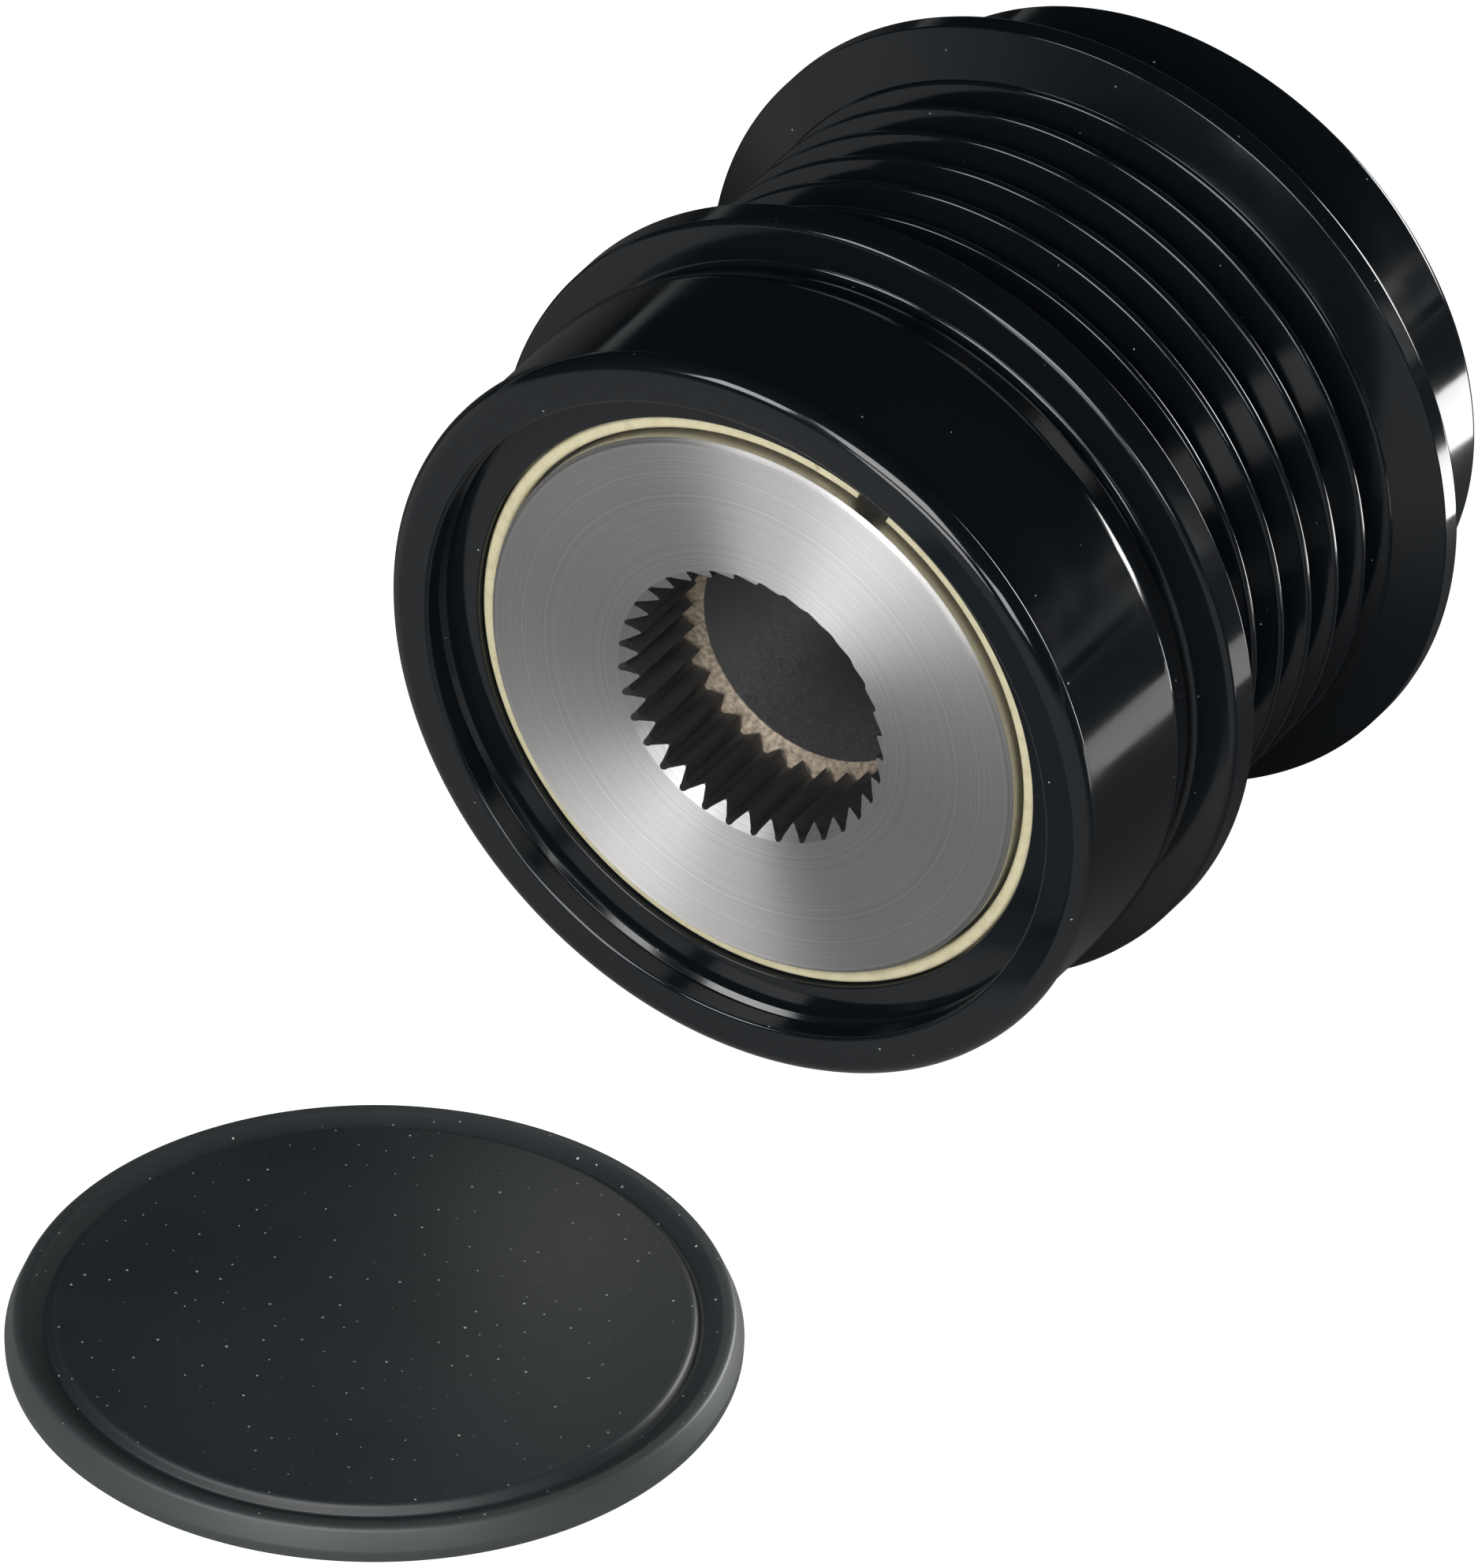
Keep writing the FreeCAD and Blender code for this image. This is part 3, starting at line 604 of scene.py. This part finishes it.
def makeCapPlastic():
    # moulded black nylon: matt with a cool grey bloom, a paler colour over the outer border and
    # side, a fine grain and many specks of dust
    material, tree, output = newMaterial("moulded black nylon")
    place = addNode(tree, "ShaderNodeTexCoord").outputs["Object"]
    cloud = addNode(tree, "ShaderNodeTexNoise", None,
                    {"Vector": place, "Scale": 1 / (capPlastic["cloudSize"] * mm), "Detail": 4.0})
    bloom = addNode(tree, "ShaderNodeMix", {"data_type": "RGBA"},
                    {"Factor": cloud.outputs[0], 6: linearColour(capPlastic["colour"]),
                     7: linearColour(capPlastic["wornColour"])})
    low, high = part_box("end_cap")
    centre = ((low.x + high.x) / 2, (low.y + high.y) / 2, low.z)
    away = addNode(tree, "ShaderNodeVectorMath", {"operation": "DISTANCE"}, {0: place, 1: centre})
    edge = addNode(tree, "ShaderNodeMapRange", {"interpolation_type": "SMOOTHSTEP"},
                   {"Value": away.outputs["Value"], "From Min": capPlastic["edgeFrom"] * mm,
                    "From Max": capPlastic["edgeTo"] * mm})
    # paler over the outer border and side, mixed in by the distance from the cap's middle
    paledToEdge = addNode(tree, "ShaderNodeMix", {"data_type": "RGBA"},
                   {"Factor": edge.outputs[0], 6: bloom.outputs[2],
                    7: linearColour(capPlastic["edgeColour"])})
    specks = speckMask(tree, place, capPlastic["speckSpacing"], capPlastic["speckSize"], "2D")
    facing = addNode(tree, "ShaderNodeTexCoord").outputs["Normal"]
    upwards = addNode(tree, "ShaderNodeSeparateXYZ", None, {0: facing})
    level = addNode(tree, "ShaderNodeMath", {"operation": "GREATER_THAN"},
                    {0: upwards.outputs["Z"], 1: capPlastic["dustLevel"]})
    dust = addNode(tree, "ShaderNodeMath", {"operation": "MULTIPLY"},
                   {0: specks, 1: level.outputs[0]}).outputs[0]
    colour = addNode(tree, "ShaderNodeMix", {"data_type": "RGBA"},
                     {"Factor": dust, 6: paledToEdge.outputs[2],
                      7: linearColour(capPlastic["dustColour"])})
    roughness = addNode(tree, "ShaderNodeMapRange", None,
                        {"Value": cloud.outputs[0], "To Min": capPlastic["roughness"][0],
                         "To Max": capPlastic["roughness"][1]})
    grain = addNode(tree, "ShaderNodeTexNoise", None,
                    {"Vector": place, "Scale": 1 / (capPlastic["grain"] * mm), "Detail": 2.0})
    bump = addNode(tree, "ShaderNodeBump", None,
                   {"Height": grain.outputs[0], "Strength": 1.0,
                    "Distance": capPlastic["grainDepth"] * mm})
    plastic = addNode(tree, "ShaderNodeBsdfPrincipled", None,
                      {"Base Color": colour.outputs[2], "Roughness": roughness.outputs[0],
                       "IOR": 1.5, "Normal": bump.outputs[0]})
    tree.links.new(plastic.outputs[0], output.inputs[0])
    return material


finishes = {"coated_steel": makeBlackCoat()}
finishes.update({slot: makePlainFinish(slot) for slot in plainFinishes})
finishes["turned_steel"] = makeTurnedSteel()
finishes["ring_plastic"] = makeCreamNylon()
finishes["cap_plastic"] = makeCapPlastic()
for part in frame["record"]["subparts"]:
    slots = nodes[part["node"]].data.materials
    slots.clear()
    slots.append(finishes[part["material_slot"]])


# Rim with its coat-softened edges

rimShape = {
    "segments": 320,
    "arcSteps": 4,
    "front": -2.0,              # the nose stands ahead of the hub's face
    "recessRadius": 25.0,
    "recessFloor": 0.5,
    "noseRadius": 27.95,
    "lipRadius": 28.3,
    "lipRound": 1.25,
    "lipEnd": -0.5,
    "lipStep": 0.2,
    "noseEnd": 10.8,
    "noseRound": 3.0,
    "valleyRadius": 26.6,
    "valleyAt": 14.4,
    "flangeAt": 14.8,
    "flangeWidth": 2.5,
    "grooveStart": 19.6,
    "ribs": 6,
    "pitch": 3.56,
    "crestRadius": 26.43,
    "crestWidth": 0.5,
    "crestRound": 0.3,
    "grooveDepth": 2.9,
    "grooveRound": 0.4,
    "grooveAngle": 40.0,
    "rearWall": 1.4,
    "rearWidth": 1.7,
    "bossRadius": 25.3,
    "bossSlope": 1.2,
    "boreRadius": 21.5,
    "boreBevel": 0.6,
    "ringBore": 22.75,
    "lipBore": 22.45,           # the coat thickens the edge in front of the ring
    "sleeveFront": 6.3,
    "beadFront": 1.75,
    "beadRear": 2.95,
    "beadDepth": 0.45,
    "snapWidth": 0.9,
    "snapDepth": 0.4,
}


def grooveCorners():
    # Formula in words: a groove's crests stand half a pitch less half a crest from its middle,
    # and its roots come closer by the groove's depth times the tangent of the flank's angle.
    shape = rimShape
    halfTop = (shape["pitch"] - shape["crestWidth"]) / 2
    halfRoot = halfTop - shape["grooveDepth"] * math.tan(math.radians(shape["grooveAngle"] / 2))
    root = shape["crestRadius"] - shape["grooveDepth"]
    corners = []
    for groove in range(shape["ribs"]):
        middle = shape["grooveStart"] + (groove + 0.5) * shape["pitch"]
        corners += [(shape["crestRadius"], middle - halfTop, shape["crestRound"]),
                    (root, middle - halfRoot, shape["grooveRound"]),
                    (root, middle + halfRoot, shape["grooveRound"]),
                    (shape["crestRadius"], middle + halfTop, shape["crestRound"])]
    return corners


def makeRim():
    # Formula in words: corners of radius, depth and fillet go round the whole section, from the
    # lip over the nose, flanges and grooves to the rear boss and back through the bore.
    shape = rimShape
    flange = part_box("pulley_rim")[1].z / mm
    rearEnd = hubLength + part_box("pulley_rim")[1].y / mm
    front = shape["front"]
    grooveEnd = shape["grooveStart"] + shape["ribs"] * shape["pitch"]
    rearFlange = grooveEnd + shape["rearWall"]
    rearRim = rearFlange + shape["rearWidth"]
    snapRear = shape["recessFloor"]
    snapFront = snapRear - shape["snapWidth"]
    outside = [
        (shape["lipRadius"], front, shape["lipRound"]),
        (shape["lipRadius"], shape["lipEnd"], 0.18),
        (shape["noseRadius"], shape["lipEnd"] + shape["lipStep"], 0.15),
        (shape["noseRadius"], shape["noseEnd"], shape["noseRound"]),
        (shape["valleyRadius"], shape["valleyAt"], 0.45),
        (flange, shape["flangeAt"], 0.5),
        (flange, shape["flangeAt"] + shape["flangeWidth"], 0.15),
        (shape["crestRadius"], shape["grooveStart"], 0.08),
    ]
    rear = [
        (shape["crestRadius"], grooveEnd, 0.08),
        (flange, rearFlange, 0.15),
        (flange, rearRim, 0.5),
        (shape["bossRadius"], rearRim + shape["bossSlope"], 0.3),
        (shape["bossRadius"], rearEnd, 0.6),
        (shape["boreRadius"] + shape["boreBevel"], rearEnd, 0.15),
        (shape["boreRadius"], rearEnd - shape["boreBevel"], 0.1),
        (shape["boreRadius"], shape["sleeveFront"], 0.02),
        (shape["ringBore"], shape["sleeveFront"], 0.02),
        (shape["ringBore"], shape["beadRear"], 0.05),
        (shape["ringBore"] + shape["beadDepth"], shape["beadRear"], 0.05),
        (shape["ringBore"] + shape["beadDepth"], shape["beadFront"], 0.05),
        (shape["lipBore"], shape["beadFront"], 0.05),
        (shape["lipBore"], shape["recessFloor"], 0.12),
        (shape["recessRadius"], shape["recessFloor"], 0.10),
        (shape["recessRadius"] + shape["snapDepth"], snapRear - shape["snapWidth"] / 3, 0.08),
        (shape["recessRadius"] + shape["snapDepth"], snapFront + shape["snapWidth"] / 3, 0.08),
        (shape["recessRadius"], snapFront, 0.10),
        (shape["recessRadius"], front, 0.3),
    ]
    rim = turnedPiece("rim_coated", outside + grooveCorners() + rear, shape["arcSteps"],
                      shape["segments"])
    rim.data.materials.append(finishes["coated_steel"])
    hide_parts("pulley_rim")
    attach(rim, "rim_body")


makeRim()
print("stage: rim")


# Split ring, with its gap and the half-moon recess of its moulding gate

ringShape = {
    "inner": 21.35,
    "outer": 22.35,
    "front": 0.95,
    "rear": 2.8,
    "beadFront": 1.9,
    "beadOuter": 23.05,
    "edgeRound": 0.30,
    "gap": 2.6,
    "gapAngle": 65.0,
    "segments": 260,
    "faceColumns": 12,
    "faceLimit": 1.05,          # the mark sinks what lies ahead of this depth
    "markRadius": 1.0,
    "markDepth": 0.25,
    "markAngle": 75.6,
    "markEdge": 0.12,           # how far the mark's edge takes to sink
    "markReach": 2.2,           # finer steps over so many of its radii
    "markSegments": 80,
    "leadSegments": 6,          # steps between the gap and the mark
    "middleRadius": 22.1,       # the point that closes each end of the ring
    "middleDepth": 2.3,
    "sharpAngle": 50.0,
}


def gridFaces(rows, columns, ends):
    # triangles over a grid whose columns wrap round, each end closed by a fan to its own point
    here = np.arange(rows * columns).reshape(rows, columns)
    side = np.roll(here, -1, axis=1)
    lower = np.stack([here[:-1], side[:-1], side[1:]], axis=2).reshape(-1, 3)
    upper = np.stack([here[:-1], side[1:], here[1:]], axis=2).reshape(-1, 3)
    faces = [lower, upper]
    for row, point, order in zip((0, rows - 1), ends, ((0, 2, 1), (0, 1, 2))):
        fan = np.stack([np.full(columns, point), here[row], side[row]], axis=1)
        faces.append(fan[:, order])
    return np.concatenate(faces)


def makeSplitRing():
    # Formula in words: the rounded section goes round the axis from one side of the gap to the
    # other, and its front face sinks by the mark's depth inside a circle about the mark's place.
    shape = ringShape
    faceRadii = np.linspace(shape["outer"] - shape["edgeRound"],
                            shape["inner"] + shape["edgeRound"], shape["faceColumns"])
    section = roundedProfile([
        (shape["inner"], shape["rear"], 0.08),
        (shape["beadOuter"], shape["rear"], 0.08),
        (shape["beadOuter"], shape["beadFront"], 0.08),
        (shape["outer"], shape["beadFront"], 0.04),
        (shape["outer"], shape["front"], shape["edgeRound"]),
        (shape["inner"], shape["front"], shape["edgeRound"]),
    ], 3)[0]
    split = int(np.argmin(np.abs(section[:, 1] - shape["front"])
                          + np.abs(section[:, 0] - faceRadii[0])))
    flat = np.stack([faceRadii[1:-1], np.full(len(faceRadii) - 2, shape["front"])], axis=1)
    section = np.concatenate([section[:split + 1], flat, section[split + 1:]])
    markSpan = shape["markReach"] * math.degrees(shape["markRadius"] / shape["outer"])
    markFrom = (shape["markAngle"] - markSpan / 2 - shape["gapAngle"]) / 360
    markTo = (shape["markAngle"] + markSpan / 2 - shape["gapAngle"]) / 360
    share = np.concatenate([
        np.linspace(0, markFrom, shape["leadSegments"], endpoint=False),
        np.linspace(markFrom, markTo, shape["markSegments"], endpoint=False),
        np.linspace(markTo, 1, shape["segments"]),
    ])
    half = np.arcsin(shape["gap"] / 2 / section[:, 0])
    start = math.radians(shape["gapAngle"]) + half
    turn = start[None, :] + share[:, None] * (2 * math.pi - 2 * half[None, :])
    across = section[None, :, 0] * np.cos(turn)
    up = section[None, :, 0] * np.sin(turn)
    mark = math.radians(shape["markAngle"])
    away = np.hypot(across - shape["outer"] * math.cos(mark),
                    up - shape["outer"] * math.sin(mark))
    sink = np.clip((shape["markRadius"] - away) / shape["markEdge"] + 0.5, 0, 1)
    onFace = section[None, :, 1] < shape["faceLimit"]
    depth = section[None, :, 1] + np.where(onFace, sink * shape["markDepth"], 0)
    points = alongPulley(across, up, depth)
    rows, columns = points.shape[:2]
    endTurn = np.arcsin(shape["gap"] / 2 / shape["middleRadius"])
    ends = math.radians(shape["gapAngle"]) + np.array([endTurn, 2 * math.pi - endTurn])
    closing = alongPulley(shape["middleRadius"] * np.cos(ends),
                          shape["middleRadius"] * np.sin(ends),
                          np.full(2, shape["middleDepth"]))
    points = np.concatenate([points.reshape(-1, 3), closing])
    faces = gridFaces(rows, columns, (rows * columns, rows * columns + 1))
    ring = meshObject("ring_moulded", points, faces)
    ring.data.set_sharp_from_angle(angle=math.radians(shape["sharpAngle"]))
    ring.data.materials.append(finishes["ring_plastic"])
    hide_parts("split_ring")
    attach(ring, "rim_body")


makeSplitRing()
print("stage: split ring")


# End cap, lying face up

capShape = {
    "segments": 256,
    "arcSteps": 5,
    "height": 2.6,
    "topRadius": 24.65,
    "beadHeight": 0.95,
    "discRadius": 21.95,
    "grooveRadius": 22.4,
    "grooveDepth": 0.85,
    "borderRadius": 23.9,
    "borderDrop": 0.1,
    "footInset": 0.05,
    "wall": 1.3,
    "poleRadius": 7.0,          # inside this the disc closes towards its middle
    "sharpAngle": 50.0,
}


def makeCap():
    # Formula in words: the profile of radius and height goes once round the cap's upright axis,
    # and a point on the axis closes the disc above and below. Corners are radius, height and
    # fillet.
    shape = capShape
    low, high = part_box("end_cap")
    centre = [(low.x + high.x) / 2 / mm, (low.y + high.y) / 2 / mm]
    floor, top = low.z / mm, shape["height"]
    hollow, bead = shape["topRadius"] - shape["wall"], (high.y - low.y) / 2 / mm
    profile = roundedProfile([
        (shape["poleRadius"], top, 0.0),
        (shape["discRadius"], top, 0.55),
        (shape["grooveRadius"], top - shape["grooveDepth"], 0.25),
        (shape["borderRadius"], top - shape["borderDrop"], 0.8),
        (shape["topRadius"], top, 0.5),
        (bead, shape["beadHeight"], 0.5),
        (bead - shape["footInset"], 0.0, 0.35),
        (hollow, 0.0, 0.15),
        (hollow, top - shape["wall"], 0.3),
        (shape["poleRadius"], top - shape["wall"], 0.0),
    ], shape["arcSteps"], closed=False)[0]
    turn = np.linspace(0, 2 * math.pi, shape["segments"], endpoint=False)
    circle = np.stack([np.cos(turn), np.sin(turn)], axis=1)
    flat = profile[:, None, 0, None] * circle[None, :, :] + np.array(centre)
    heights = np.broadcast_to(floor + profile[:, 1, None, None], flat.shape[:2] + (1,))
    points = np.concatenate([flat, heights], axis=2).reshape(-1, 3)
    rows, columns = len(profile), shape["segments"]
    poles = np.array([[*centre, floor + top], [*centre, floor + top - shape["wall"]]])
    points = np.concatenate([points, poles])
    faces = gridFaces(rows, columns, (rows * columns, rows * columns + 1))
    cap = meshObject("cap_moulded", points, faces)
    cap.data.set_sharp_from_angle(angle=math.radians(shape["sharpAngle"]))
    cap.data.materials.append(finishes["cap_plastic"])
    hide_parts("end_cap")
    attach(cap, "hub_body")


makeCap()
print("stage: end cap")
